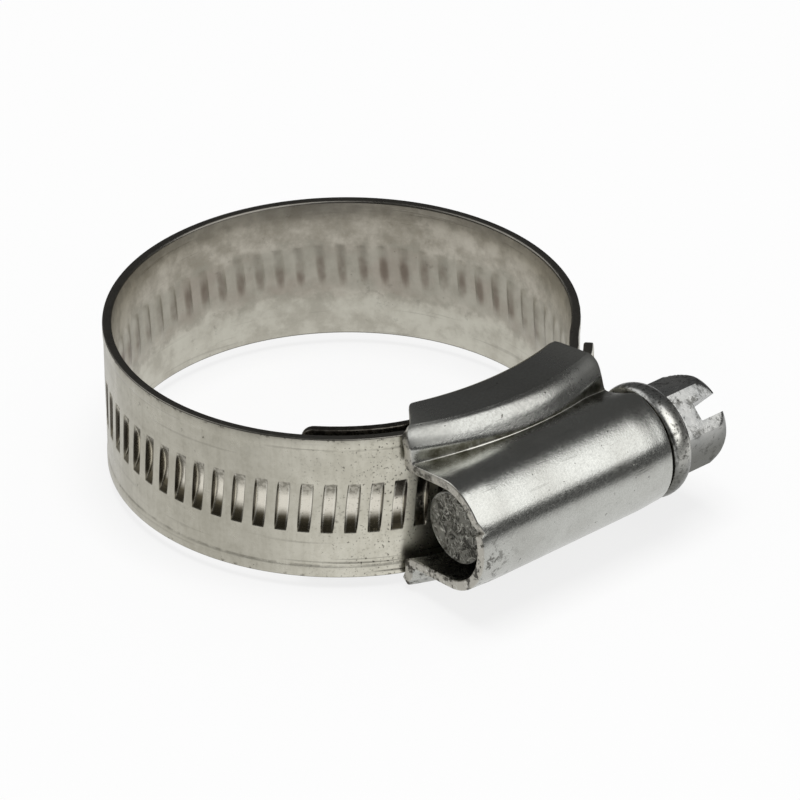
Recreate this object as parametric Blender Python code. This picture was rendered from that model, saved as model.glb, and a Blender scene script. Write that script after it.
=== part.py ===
# Worm drive hose clamp, 30 to 40 mm, nearly fully open.
# Three pieces: one slotted steel strip wound into a hoop, a one-piece pressed housing that
# clasps both layers of the strip, and a one-piece worm screw with a collar and a slotted hex head.
# Metres, +Z up. The hoop's axis is along Z, the screw's axis is along X, the housing is at -Y.

import math

import bmesh
import bpy
import numpy as np

# Strip and hoop
HOOP_DIAMETER = 0.03906  # outside the plain part of the hoop
BAND_WIDTH = 0.0130
BAND_THICKNESS = 0.00078
LAYER_GAP = 0.0006  # room for the slots' bumps between the two layers
EDGE_ROLL_WIDTH = 0.0011  # margin along each edge that is set outwards
EDGE_ROLL_HEIGHT = 0.00005
EDGE_CHAMFER = 0.0002  # the inner face's rims are worn back this much
TONGUE_REACH = 0.0065  # inner end of the strip, past the left end of the housing
TIP_REACH = 0.00315  # free end of the strip, past the right end of the lips
END_CORNER = 0.0011  # rounding of the strip's corners

# Pressed slots
SLOT_PITCH = 0.001845
SLOT_LENGTH = 0.00463
SLOT_WIDTH = 0.00103
SLOT_DEPTH = 0.0005
SLOT_WALL = 0.00009  # how far a slot's side wall leans in
BUMP_HEIGHT = 0.0002
TIP_MARGIN = 0.00405  # free end to the middle of the first slot
PLAIN_START = 0.0165  # middle of the saddle to the last slot, along the inner layer

# Saddle, the flatter stretch that the housing holds
SADDLE_RADIUS = 0.0246  # outer face of the outer layer
SADDLE_DROP = 0.0004  # how far the saddle stands out of the hoop's circle
HOOP_SHIFT = 0.0022  # the hoop's centre lies this far to the left of the saddle's middle
SADDLE_HOLD = 0.0092  # half length of the stretch that follows the saddle
SADDLE_FADE = 0.0034

# Worm screw
WORM_RADIUS = 0.0036
WORM_LIFT = 0.0001  # the worm floats this much above the tunnel's middle
THREAD_DEPTH = 0.00065
THREAD_CREST = 0.0005
THREAD_BASE = 0.00075
THREAD_ENGAGEMENT = 0.0004
THREAD_RUNOUT = 0.3  # turns over which the thread rises at each end
TIP_RADIUS = 0.0031  # short plain end before the thread
TIP_LENGTH = 0.0004
TIP_CHAMFER = 0.00012
TIP_INSET = 0.00095  # end of the screw, inside the left end of the tunnel
NECK_LENGTH = 0.0014
COLLAR_RADIUS = 0.0049
COLLAR_EDGE = 0.0007  # rounded edge beside the housing
COLLAR_DOME = 0.0017  # length over which it falls to the head
COLLAR_FOOT_RADIUS = 0.0034
COLLAR_PLAY = 0.00015
HEAD_FLATS = 0.0069
HEAD_LENGTH = 0.00445
HEAD_ROUNDING = 0.0032  # length over which the corners are rounded off towards the end
HEAD_FACE_RADIUS = 0.0031
HEAD_TURN = 46.5  # degrees from -Y up to the middle of one flat
DRIVE_SLOT_WIDTH = 0.00165
DRIVE_SLOT_DEPTH = 0.00255
DRIVE_SLOT_OFFSET = 0.00015

# Housing
SHEET = 0.0008
TUNNEL_CLEARANCE = 0.0003
TUNNEL_LIFT = 0.00035  # the tunnel is this much taller than round, above and below
TUNNEL_LEFT = 0.0109  # its ends, from the saddle's middle
TUNNEL_RIGHT = 0.0093
RIM_CRIMP = 0.00012
RIM_LENGTH = 0.0026
LIP_LEFT = 0.0111
LIP_RIGHT = 0.0081
LIP_TAPER_LEFT = 0.0044
LIP_TAPER_RIGHT = 0.0016
LIP_SHARES = (0.25, 0.6)  # parts of the taper taken where the front roll ends and the back one starts
LIP_EDGE_CLEARANCE = 0.0002
FRONT_BEND = 0.0017  # roll of the lips on the outer side, about a line in the strip's outer face
FRONT_LEAN = 24  # degrees that the wall below the roll leans back
FRONT_WALL = (0.0011, 0.0007)  # length of that wall, in the middle and towards both ends
FRONT_FADE = (0.0010, 0.0070)  # where it goes from the one to the other, from the middle
BACK_BEND = 0.0012
LIP_REACH = 0.0022  # how far the lips turn down inside the hoop, from the strip's edge
LIP_BACK_RADIUS = 0.0255  # the turned-down part is flatter than the saddle
LIP_BACK_CLEARANCE = 0.0009  # room behind the inner layer, in the saddle's middle
VALLEY_REACH = 0.0020  # the valley between lip and tunnel lies this far in front of the strip
VALLEY_DROP = 0.0022  # and this far below the lip's top, in the saddle's middle
VALLEY_FOLLOW = 1.15  # its line bends back this much more than the saddle's curve
VALLEY_FALL = 0.33  # and it falls by this share of the saddle's curve
VALLEY_DIP = 0.0008  # and this much more at its right end
VALLEY_DIP_FADE = (0.0050, 0.0095)

ROUND_STEPS = 24
EDGE_STEPS = 3
DOME_STEPS = 6
HOUSING_STEPS = 10
ARC_STEP = 15  # degrees, around the tunnel
ARC_COUNT = 4  # steps along each bend of the lips
CUTTER_OVER = 0.0002
PATH_TURNS = (-80.0, 440.0, 0.25)  # degrees: first, last and step

HOOP_MIDDLE = HOOP_DIAMETER / 2 - BAND_THICKNESS / 2
LAYER_STEP = BAND_THICKNESS + LAYER_GAP
SADDLE_FRONT = HOOP_DIAMETER / 2 + SADDLE_DROP
SADDLE_CENTRE = SADDLE_RADIUS - SADDLE_FRONT
WORM_OFFSET = SADDLE_FRONT + WORM_RADIUS - THREAD_ENGAGEMENT
ROOT_RADIUS = WORM_RADIUS - THREAD_DEPTH
SLOT_LEAN = SLOT_PITCH / (2 * math.pi * (WORM_RADIUS - THREAD_DEPTH / 2))
TUNNEL_RADIUS = WORM_RADIUS + TUNNEL_CLEARANCE + SHEET
LIP_TOP = BAND_WIDTH / 2 + LIP_EDGE_CLEARANCE + SHEET
VALLEY_HEIGHT = LIP_TOP - VALLEY_DROP
THREAD_LEFT = TIP_INSET + TIP_LENGTH + THREAD_BASE / 2 - TUNNEL_LEFT
THREAD_RIGHT = TUNNEL_RIGHT - NECK_LENGTH
COLLAR_THICKNESS = COLLAR_EDGE + COLLAR_DOME


def clear_scene():
    for item in list(bpy.data.objects):
        bpy.data.objects.remove(item, do_unlink=True)


def smooth_step(value, start, end):
    share = np.clip((value - start) / (end - start), 0.0, 1.0)
    return share * share * (3 - 2 * share)


def steel(name, colour, roughness):
    material = bpy.data.materials.new(name)
    material.use_nodes = True
    shader = material.node_tree.nodes["Principled BSDF"]
    shader.inputs["Base Color"].default_value = (*colour, 1.0)
    shader.inputs["Roughness"].default_value = roughness
    shader.inputs["Metallic"].default_value = 1.0
    return material


def mesh_object(name, points, faces, material=None):
    mesh = bpy.data.meshes.new(name)
    mesh.from_pydata([tuple(map(float, point)) for point in points], [], faces)
    mesh.validate()
    if material:
        mesh.materials.append(material)
    item = bpy.data.objects.new(name, mesh)
    bpy.context.scene.collection.objects.link(item)
    return item


def smooth_shaded(item, angle=32):
    item.data.shade_smooth()
    item.data.set_sharp_from_angle(angle=math.radians(angle))


def as_helper(item):
    item.hide_render = True
    item.display_type = "WIRE"
    return item


def combine(item, other, operation):
    modifier = item.modifiers.new(other.name, "BOOLEAN")
    modifier.operation = operation
    modifier.solver = "EXACT"
    modifier.object = as_helper(other)


# Path of the strip, seen from above

def strip_radius(turn):
    """Distance from the hoop's centre at an angle counted from -Y towards +X, over both laps."""
    lap = np.where(turn < 0, -1, np.where(turn > 2 * math.pi, 1, 0))
    plain = HOOP_MIDDLE + LAYER_STEP * lap
    inner = turn < math.pi
    saddle = SADDLE_RADIUS - BAND_THICKNESS / 2 - np.where(inner, LAYER_STEP, 0.0)
    along = HOOP_SHIFT * np.sin(turn) - SADDLE_CENTRE * np.cos(turn)
    held = along + np.sqrt(saddle**2 - HOOP_SHIFT**2 - SADDLE_CENTRE**2 + along**2)
    across = np.abs(held * np.sin(turn) - HOOP_SHIFT)
    hold = 1 - smooth_step(across, SADDLE_HOLD - SADDLE_FADE / 2, SADDLE_HOLD + SADDLE_FADE / 2)
    hold = np.where(np.cos(turn) > 0.3, hold, 0.0)
    return plain + (held - plain) * hold


class StripPath:
    """The strip's middle line by distance along it, from well before the tongue to past the tip."""

    def __init__(self):
        self.turn = np.radians(np.arange(*PATH_TURNS))
        radius = strip_radius(self.turn)
        self.x = radius * np.sin(self.turn) - HOOP_SHIFT
        self.y = -radius * np.cos(self.turn)
        steps = np.hypot(np.diff(self.x), np.diff(self.y))
        self.distance = np.concatenate([[0.0], np.cumsum(steps)])
        self.normal_x = np.gradient(self.y, self.distance)
        self.normal_y = -np.gradient(self.x, self.distance)

    def at_x(self, x, outer):
        """Distance at which the inner or the outer layer passes this x on the housing's side."""
        lap = self.turn > math.pi if outer else self.turn < math.pi
        near = lap & (np.cos(self.turn) > 0.3)
        return float(np.interp(x, self.x[near], self.distance[near]))

    def place(self, distance, offset, z):
        x = np.interp(distance, self.distance, self.x)
        y = np.interp(distance, self.distance, self.y)
        normal_x = np.interp(distance, self.distance, self.normal_x)
        normal_y = np.interp(distance, self.distance, self.normal_y)
        return x + offset * normal_x, y + offset * normal_y, z


def strip_ends(path):
    start = path.at_x(-TUNNEL_LEFT, outer=False) - TONGUE_REACH
    end = path.at_x(LIP_RIGHT, outer=True) + TIP_REACH
    return start, end


def slot_positions(path):
    """Middles of the pressed slots, from the last on the inner layer to the first near the tip."""
    first = strip_ends(path)[1] - TIP_MARGIN
    last = path.at_x(0.0, outer=False) + PLAIN_START
    count = int((first - last) / SLOT_PITCH)
    return [first - SLOT_PITCH * (count - index) for index in range(count + 1)]


def half_width(distance, start, end):
    """Half the strip's width, less at the two ends where the corners are round."""
    from_end = min(distance - start, end - distance, END_CORNER)
    return BAND_WIDTH / 2 - END_CORNER + math.sqrt(END_CORNER**2 - (END_CORNER - from_end) ** 2)


class StripMesh:
    """Points of one face of the strip as (distance, z, share of the pressing), with its polygons."""

    def __init__(self, start, end):
        self.start = start
        self.end = end
        self.points = []
        self.faces = []

    def point(self, distance, z, press=0.0, rolled=False):
        self.points.append((distance, z, press, rolled))
        return len(self.points) - 1

    def rails(self, distance):
        """Four points across the strip: lower rim, lower roll line, upper roll line, upper rim."""
        rim = half_width(distance, self.start, self.end)
        line = rim - EDGE_ROLL_WIDTH
        return [
            self.point(distance, -rim, rolled=True),
            self.point(distance, -line),
            self.point(distance, line),
            self.point(distance, rim, rolled=True),
        ]

    def slot(self, middle):
        """Four columns of five points: a pocket whose floor is an arc that runs out at both ends."""
        half = SLOT_WIDTH / 2
        edges = (-half, SLOT_WALL - half, half - SLOT_WALL, half)
        grid = []
        for index, edge in enumerate(edges):
            column = []
            for share in (-1.0, -0.5, 0.0, 0.5, 1.0):
                z = share * SLOT_LENGTH / 2
                press = (1 - share**2) if index in (1, 2) else 0.0
                column.append(self.point(middle + edge + z * SLOT_LEAN, z, press))
            grid.append(column)
        return grid

    def add_edges(self, before, after):
        self.faces.append((before[0], after[0], after[1], before[1]))
        self.faces.append((before[2], after[2], after[3], before[3]))

    def add_plain(self, before, after):
        self.add_edges(before, after)
        self.faces.append((before[1], after[1], after[2], before[2]))

    def add_slot(self, rails, grid):
        for left, right in zip(grid, grid[1:]):
            for row in range(4):
                self.faces.append((left[row], right[row], right[row + 1], left[row + 1]))
            self.faces.append((rails[1], right[0], left[0]))
            self.faces.append((left[4], right[4], rails[2]))

    def add_land(self, before_rails, before_grid, after_rails, after_grid):
        """The land between two slots, or from a slot to the plain strip when a grid is missing."""
        self.add_edges(before_rails, after_rails)
        left = before_grid[3] if before_grid else []
        right = after_grid[0] if after_grid else []
        if left and right:
            for row in range(4):
                self.faces.append((left[row], right[row], right[row + 1], left[row + 1]))
            self.faces.append((before_rails[1], after_rails[1], right[0], left[0]))
            self.faces.append((left[4], right[4], after_rails[2], before_rails[2]))
            return
        if left:
            hub_low, hub_high = after_rails[1], after_rails[2]
            chain = [before_rails[1], *left, before_rails[2]]
        else:
            hub_low, hub_high = before_rails[1], before_rails[2]
            chain = [after_rails[1], *right, after_rails[2]]
        half = len(chain) // 2
        fans = [(hub_low, chain[i], chain[i + 1]) for i in range(half)]
        fans.append((hub_low, chain[half], hub_high))
        fans += [(hub_high, chain[i], chain[i + 1]) for i in range(half, len(chain) - 1)]
        self.faces += [fan if right else fan[::-1] for fan in fans]


def boundary_edges(faces):
    edges = {}
    for face in faces:
        for a, b in zip(face, face[1:] + face[:1]):
            edges[(a, b)] = edges.get((a, b), 0) + 1
    return [(a, b) for a, b in edges if (b, a) not in edges]


def strip_surface(path):
    """One face of the strip: plain columns, then a column of slots one pitch apart, then plain."""
    start, end = strip_ends(path)
    slots = slot_positions(path)
    mesh = StripMesh(start, end)
    head_run = slots[0] - SLOT_PITCH - start - END_CORNER
    head_count = max(2, round(head_run / SLOT_PITCH))
    plain_head = [start, start + END_CORNER * 0.25]
    plain_head += [start + END_CORNER + head_run * i / head_count for i in range(head_count + 1)]
    plain_tail = [end - END_CORNER, end - END_CORNER * 0.25, end]
    columns = [(mesh.rails(distance), None) for distance in plain_head]
    columns += [(mesh.rails(middle), mesh.slot(middle)) for middle in slots]
    columns += [(mesh.rails(distance), None) for distance in plain_tail]
    for rails, grid in columns:
        if grid:
            mesh.add_slot(rails, grid)
    for (rails, grid), (next_rails, next_grid) in zip(columns, columns[1:]):
        if grid or next_grid:
            mesh.add_land(rails, grid, next_rails, next_grid)
        else:
            mesh.add_plain(rails, next_rails)
    return mesh


def make_band(path, material):
    """The strip's outer and inner faces share one layout, joined along the rims and the ends."""
    mesh = strip_surface(path)
    outer, inner = [], []
    for distance, z, press, rolled in mesh.points:
        roll = EDGE_ROLL_HEIGHT if rolled else 0.0
        worn = math.copysign(EDGE_CHAMFER, z) if rolled else 0.0
        front = BAND_THICKNESS / 2 - SLOT_DEPTH * press + roll
        back = -BAND_THICKNESS / 2 - BUMP_HEIGHT * press + roll
        outer.append(path.place(distance, front, z))
        inner.append(path.place(distance, back, z - worn))
    count = len(outer)
    faces = list(mesh.faces)
    faces += [tuple(index + count for index in reversed(face)) for face in mesh.faces]
    faces += [(b, a, a + count, b + count) for a, b in boundary_edges(mesh.faces)]
    band = mesh_object("band", outer + inner, faces, material)
    smooth_shaded(band, 14)
    return band


# Housing

def saddle_y(x, radius):
    return SADDLE_CENTRE - math.sqrt(radius**2 - x**2)


def back_y(x):
    """Inner face of the lips, behind both layers of the strip."""
    layers = BAND_THICKNESS + LAYER_STEP + LIP_BACK_CLEARANCE + SHEET
    return layers - SADDLE_FRONT + LIP_BACK_RADIUS - math.sqrt(LIP_BACK_RADIUS**2 - x**2)


def rim_squeeze(x):
    """How far the tunnel's wall is drawn in at x, near its two ends."""
    left = 1 - smooth_step(x + TUNNEL_LEFT, 0.0, RIM_LENGTH)
    right = 1 - smooth_step(TUNNEL_RIGHT - x, 0.0, RIM_LENGTH)
    return RIM_CRIMP * float(max(left, right))


def front_wall(x):
    share = float(smooth_step(abs(x), *FRONT_FADE))
    return FRONT_WALL[0] + (FRONT_WALL[1] - FRONT_WALL[0]) * share


def lip_arc(start):
    return [start + (math.pi / 2 - start) * step / ARC_COUNT for step in range(ARC_COUNT + 1)]


def housing_half(u):
    """Outer face of the upper half of the section at share u of its length, as (x, y, z, drawn)."""
    half = []

    def spot(left, right):
        return -left + (left + right) * u

    x = spot(TUNNEL_LEFT, TUNNEL_RIGHT)
    squeeze = rim_squeeze(x)
    for degrees in range(0, 91, ARC_STEP):
        angle = math.radians(degrees)
        y = -WORM_OFFSET - (TUNNEL_RADIUS - squeeze) * math.cos(angle)
        z = (TUNNEL_RADIUS + TUNNEL_LIFT - squeeze) * math.sin(angle)
        half.append((x, y, z, squeeze))
    x = spot(TUNNEL_LEFT, (TUNNEL_RIGHT + LIP_RIGHT) / 2)
    curve = saddle_y(x, SADDLE_RADIUS) + SADDLE_FRONT
    valley = VALLEY_FOLLOW * curve - VALLEY_REACH - SADDLE_FRONT
    dip = VALLEY_DIP * float(smooth_step(x, *VALLEY_DIP_FADE))
    height = VALLEY_HEIGHT - VALLEY_FALL * curve - dip
    top = TUNNEL_RADIUS + TUNNEL_LIFT - squeeze
    half.append((x, (valley - WORM_OFFSET) / 2, (top + height) / 2, squeeze / 2))
    half.append((x, valley, height, 0.0))
    x = spot(LIP_LEFT, LIP_RIGHT)
    lean = math.radians(FRONT_LEAN)
    below = front_wall(x)
    y = saddle_y(x, SADDLE_RADIUS) - FRONT_BEND * math.cos(lean) - below * math.sin(lean)
    z = LIP_TOP - FRONT_BEND * (1 - math.sin(lean)) - below * math.cos(lean)
    half.append((x, y, z, 0.0))
    for angle in lip_arc(lean):
        share = LIP_SHARES[0] * ((angle - lean) / (math.pi / 2 - lean)) ** 2
        x = spot(LIP_LEFT - LIP_TAPER_LEFT * share, LIP_RIGHT - LIP_TAPER_RIGHT * share)
        y = saddle_y(x, SADDLE_RADIUS) - FRONT_BEND * math.cos(angle)
        half.append((x, y, LIP_TOP - FRONT_BEND * (1 - math.sin(angle)), 0.0))
    for angle in lip_arc(0.0):
        share = LIP_SHARES[1] + (1 - LIP_SHARES[1]) * math.sin(angle)
        x = spot(LIP_LEFT - LIP_TAPER_LEFT * share, LIP_RIGHT - LIP_TAPER_RIGHT * share)
        y = back_y(x) - BACK_BEND * (1 - math.sin(angle))
        half.append((x, y, LIP_TOP - BACK_BEND * (1 - math.cos(angle)), 0.0))
    x = spot(LIP_LEFT - LIP_TAPER_LEFT, LIP_RIGHT - LIP_TAPER_RIGHT)
    half.append((x, back_y(x), BAND_WIDTH / 2 - LIP_REACH, 0.0))
    return half


def offset_inwards(section):
    """The hidden face of the sheet: each point moved by the sheet's thickness, corners mitred."""
    flat = np.array([(y, z) for _, y, z, _ in section])
    along = np.diff(flat, axis=0)
    along /= np.linalg.norm(along, axis=1)[:, None]
    normal = np.stack([along[:, 1], -along[:, 0]], 1)
    before = np.vstack([normal[:1], normal])
    after = np.vstack([normal, normal[-1:]])
    bisector = before + after
    bisector /= (bisector * after).sum(1)[:, None]
    inside = []
    for (x, y, z, squeeze), (shift_y, shift_z) in zip(section, bisector):
        thickness = SHEET + squeeze / 2
        inside.append((x, y + shift_y * thickness, z + shift_z * thickness))
    return inside


def housing_stations():
    rim = RIM_LENGTH / (TUNNEL_LEFT + TUNNEL_RIGHT)
    inner = [rim + (1 - 2 * rim) * step / HOUSING_STEPS for step in range(HOUSING_STEPS + 1)]
    return [0.0, rim / 2, *inner, 1 - rim / 2, 1.0]


def make_housing(material):
    """A closed loop of the section's two faces at each station, joined from station to station."""
    loops = []
    for u in housing_stations():
        upper = housing_half(u)
        lower = [(x, y, -z, squeeze) for x, y, z, squeeze in reversed(upper[1:])]
        section = lower + upper
        outside = [(x, y, z) for x, y, z, _ in section]
        loops.append(outside + offset_inwards(section)[::-1])
    size = len(loops[0])
    points = [point for loop in loops for point in loop]
    faces = []
    for index in range(len(loops) - 1):
        base = index * size
        for i in range(size):
            j = (i + 1) % size
            faces.append((base + i, base + size + i, base + size + j, base + j))
    last = (len(loops) - 1) * size
    for i in range(size // 2 - 1):
        k = size - 1 - i
        faces.append((i, i + 1, k - 1, k))
        faces.append((last + k, last + k - 1, last + i + 1, last + i))
    housing = mesh_object("housing", points, faces, material)
    smooth_shaded(housing, 30)
    return housing


# Worm screw, modelled about its own axis along local X, with its origin on that axis

def turned(name, profile, steps=ROUND_STEPS):
    """A solid turned about X from (x, radius) points that start and end on the axis."""
    points = [(profile[0][0], 0.0, 0.0)]
    for x, radius in profile[1:-1]:
        for step in range(steps):
            angle = 2 * math.pi * step / steps
            points.append((x, -radius * math.cos(angle), radius * math.sin(angle)))
    points.append((profile[-1][0], 0.0, 0.0))
    faces = []
    for step in range(steps):
        after = (step + 1) % steps
        faces.append((0, 1 + step, 1 + after))
        for ring in range(len(profile) - 3):
            base = 1 + ring * steps
            faces.append((base + step, base + steps + step, base + steps + after, base + after))
        base = 1 + (len(profile) - 3) * steps
        faces.append((len(points) - 1, base + after, base + step))
    body = mesh_object(name, points, faces)
    face_outwards(body)
    return body


def shank_profile(left, right):
    """Root cylinder with a flat tip, then the neck and the domed collar."""
    face = right + COLLAR_PLAY
    crown = face + COLLAR_EDGE
    profile = [(left, 0.0), (left, TIP_RADIUS - TIP_CHAMFER), (left + TIP_CHAMFER, TIP_RADIUS)]
    profile += [(left + TIP_LENGTH, TIP_RADIUS), (left + TIP_LENGTH + TIP_CHAMFER, ROOT_RADIUS)]
    profile.append((face, ROOT_RADIUS))
    for step in range(EDGE_STEPS + 1):
        angle = math.pi / 2 * step / EDGE_STEPS
        radius = COLLAR_RADIUS - COLLAR_EDGE / 2 * (1 - math.sin(angle))
        profile.append((crown - COLLAR_EDGE * math.cos(angle), radius))
    fall = COLLAR_RADIUS - COLLAR_FOOT_RADIUS
    for step in range(1, DOME_STEPS):
        angle = math.pi / 2 * step / DOME_STEPS
        radius = COLLAR_RADIUS - fall * (1 - math.cos(angle))
        profile.append((crown + COLLAR_DOME * math.sin(angle), radius))
    profile.append((face + COLLAR_THICKNESS, COLLAR_FOOT_RADIUS))
    profile.append((face + COLLAR_THICKNESS, 0.0))
    return profile


def thread_ridge(crest_x):
    """Helical ridge, sunk a little into the root, whose crest passes crest_x on the strip's side."""
    steps = ROUND_STEPS
    first = math.ceil((THREAD_LEFT - crest_x) / SLOT_PITCH * steps)
    last = math.floor((THREAD_RIGHT - crest_x) / SLOT_PITCH * steps)
    sunk = ROOT_RADIUS - THREAD_DEPTH / 3
    points = []
    for step in range(first, last + 1):
        angle = 2 * math.pi * step / steps
        from_end = (min(step - first, last - step) + 1) / steps
        rise = min(1.0, from_end / THREAD_RUNOUT)
        crest = sunk + (WORM_RADIUS - sunk) * rise
        x = crest_x + SLOT_PITCH * step / steps
        flat = THREAD_CREST + (THREAD_BASE - THREAD_CREST) * (1 - rise) / 2
        section = ((-THREAD_BASE, sunk), (-flat, crest), (flat, crest), (THREAD_BASE, sunk))
        for width, radius in section:
            points.append((x + width / 2, radius * math.cos(angle), radius * math.sin(angle)))
    rows = last - first + 1
    faces = [(0, 1, 2, 3)]
    for row in range(rows - 1):
        base = row * 4
        for i in range(4):
            j = (i + 1) % 4
            faces.append((base + i, base + 4 + i, base + 4 + j, base + j))
    base = (rows - 1) * 4
    faces.append((base + 3, base + 2, base + 1, base))
    ridge = mesh_object("thread_ridge", points, faces)
    face_outwards(ridge)
    return ridge


def face_outwards(item):
    shell = bmesh.new()
    shell.from_mesh(item.data)
    bmesh.ops.recalc_face_normals(shell, faces=shell.faces)
    shell.to_mesh(item.data)
    shell.free()


def hex_prism(start, end):
    """Hexagon about X with one flat turned HEAD_TURN up from -Y."""
    corner = HEAD_FLATS / 2 / math.cos(math.pi / 6)
    points = []
    for x in (start, end):
        for index in range(6):
            angle = math.radians(HEAD_TURN + 30 + 60 * index)
            points.append((x, -corner * math.cos(angle), corner * math.sin(angle)))
    faces = [(5, 4, 3, 2, 1, 0), (6, 7, 8, 9, 10, 11)]
    faces += [(i, (i + 1) % 6, (i + 1) % 6 + 6, i + 6) for i in range(6)]
    prism = mesh_object("head_hexagon", points, faces)
    face_outwards(prism)
    return prism


def head_envelope(start, end):
    """Turned body that rounds off the hexagon's corners towards its end face."""
    corner = HEAD_FLATS / 2 / math.cos(math.pi / 6)
    wide = corner + CUTTER_OVER
    profile = [(start, 0.0), (start, wide), (end - HEAD_ROUNDING, wide)]
    for step in range(1, DOME_STEPS + 1):
        angle = math.pi / 2 * step / DOME_STEPS
        x = end - HEAD_ROUNDING * (1 - math.sin(angle))
        profile.append((x, HEAD_FACE_RADIUS + (wide - HEAD_FACE_RADIUS) * math.cos(angle)))
    profile.append((end, 0.0))
    return turned("head_envelope", profile, 2 * ROUND_STEPS)


def drive_slot(end):
    """Cutter for the screwdriver slot, across the flats at HEAD_TURN."""
    angle = math.radians(HEAD_TURN)
    along = (-math.cos(angle), math.sin(angle))
    across = (math.sin(angle), math.cos(angle))
    points = []
    for x in (end - DRIVE_SLOT_DEPTH, end + DRIVE_SLOT_DEPTH):
        for far, side in ((-1, -1), (1, -1), (1, 1), (-1, 1)):
            reach = far * HEAD_FLATS
            half = side * DRIVE_SLOT_WIDTH / 2 - DRIVE_SLOT_OFFSET
            y = reach * along[0] + half * across[0]
            z = reach * along[1] + half * across[1]
            points.append((x, y, z))
    faces = [(0, 1, 2, 3), (7, 6, 5, 4)]
    faces += [(i, i + 4, (i + 1) % 4 + 4, (i + 1) % 4) for i in range(4)]
    cutter = mesh_object("drive_slot", points, faces)
    face_outwards(cutter)
    return cutter


def slot_in_mesh(path):
    """The x of the slot nearest to the middle of the housing, which the thread's crest enters."""
    middle = path.at_x(0.0, outer=True)
    nearest = min(slot_positions(path), key=lambda distance: abs(distance - middle))
    return path.place(nearest, BAND_THICKNESS / 2, 0.0)[0]


def make_screw(path, material):
    left = -TUNNEL_LEFT + TIP_INSET
    profile = shank_profile(left, TUNNEL_RIGHT)
    screw = turned("worm_screw", profile)
    screw.data.materials.append(material)
    head_start = TUNNEL_RIGHT + COLLAR_PLAY + COLLAR_THICKNESS
    head_end = head_start + HEAD_LENGTH
    head = hex_prism(head_start - COLLAR_THICKNESS / 2, head_end)
    combine(head, head_envelope(head_start - COLLAR_THICKNESS, head_end), "INTERSECT")
    combine(head, drive_slot(head_end), "DIFFERENCE")
    combine(screw, head, "UNION")
    combine(screw, thread_ridge(float(slot_in_mesh(path))), "UNION")
    pieces = [screw]
    for modifier in [*head.modifiers, *screw.modifiers]:
        pieces.append(modifier.object)
    for piece in pieces:
        piece.location = (0.0, -WORM_OFFSET, WORM_LIFT)
    smooth_shaded(screw, 30)
    return screw


def origin_below(pieces):
    """Moves everything so that the origin lies under the middle of the whole, on the surface below."""
    bpy.context.view_layer.update()
    corners = []
    for piece in pieces:
        corners += [piece.matrix_world @ vertex.co for vertex in piece.data.vertices]
    corners = np.array(corners)
    low = corners.min(0)
    middle = (low + corners.max(0)) / 2
    shift = np.array([middle[0], middle[1], low[2]])
    for item in bpy.data.objects:
        item.location = tuple(np.array(item.location) - shift)


def main():
    clear_scene()
    path = StripPath()
    band = make_band(path, steel("band_steel", (0.46, 0.44, 0.40), 0.34))
    housing = make_housing(steel("housing_steel", (0.52, 0.51, 0.49), 0.22))
    screw = make_screw(path, steel("screw_steel", (0.36, 0.36, 0.35), 0.40))
    origin_below([band, housing, screw])


main()
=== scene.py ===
# Worm drive hose clamp on a white studio floor.
# The slotted strip, the pressed housing and the worm screw are surfaces worked out with numpy,
# in millimetres from the middle of the saddle, and stand for the CAD solids of the same sizes.

import math

import bpy
import numpy as np
from mathutils import Matrix, Vector


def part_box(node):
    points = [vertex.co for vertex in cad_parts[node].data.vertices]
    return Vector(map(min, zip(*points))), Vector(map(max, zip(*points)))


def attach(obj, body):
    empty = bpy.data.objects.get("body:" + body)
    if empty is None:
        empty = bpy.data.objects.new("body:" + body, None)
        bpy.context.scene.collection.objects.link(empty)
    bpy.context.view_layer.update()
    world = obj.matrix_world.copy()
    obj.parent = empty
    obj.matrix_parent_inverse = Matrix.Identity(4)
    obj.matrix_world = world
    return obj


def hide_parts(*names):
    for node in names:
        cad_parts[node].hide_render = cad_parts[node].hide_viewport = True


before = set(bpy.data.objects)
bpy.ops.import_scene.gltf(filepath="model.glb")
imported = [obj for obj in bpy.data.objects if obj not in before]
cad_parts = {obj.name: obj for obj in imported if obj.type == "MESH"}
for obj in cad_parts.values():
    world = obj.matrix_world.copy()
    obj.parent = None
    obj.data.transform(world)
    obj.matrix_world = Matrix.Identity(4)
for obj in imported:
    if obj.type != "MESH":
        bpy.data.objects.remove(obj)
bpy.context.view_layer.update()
scene = bpy.context.scene
mm = 0.001
print("frame loaded")


# Plain helpers

def smoothStep(value, start, end):  # 3t^2 - 2t^3, with t from 0 at start to 1 at end
    share = np.clip((value - start) / (end - start), 0.0, 1.0)
    return share * share * (3 - 2 * share)


def tubeFaces(rows, around):
    # one quad for each cell of a grid of points, whose last column joins its first
    i = np.arange(rows - 1)[:, None]
    j = np.arange(around)[None, :]
    here, below = i * around, (i + 1) * around
    along = (j + 1) % around
    corners = (here + j, below + j, below + along, here + along)
    return np.stack(np.broadcast_arrays(*corners), -1).reshape(-1, 4)


def unit(vectors):
    return vectors / np.linalg.norm(vectors, axis=-1, keepdims=True)


def besides(steps):  # for each point of a line, the step before it and the step after it
    before = np.concatenate([steps[..., :1, :], steps], -2)
    return before, np.concatenate([steps, steps[..., -1:, :]], -2)


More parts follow.
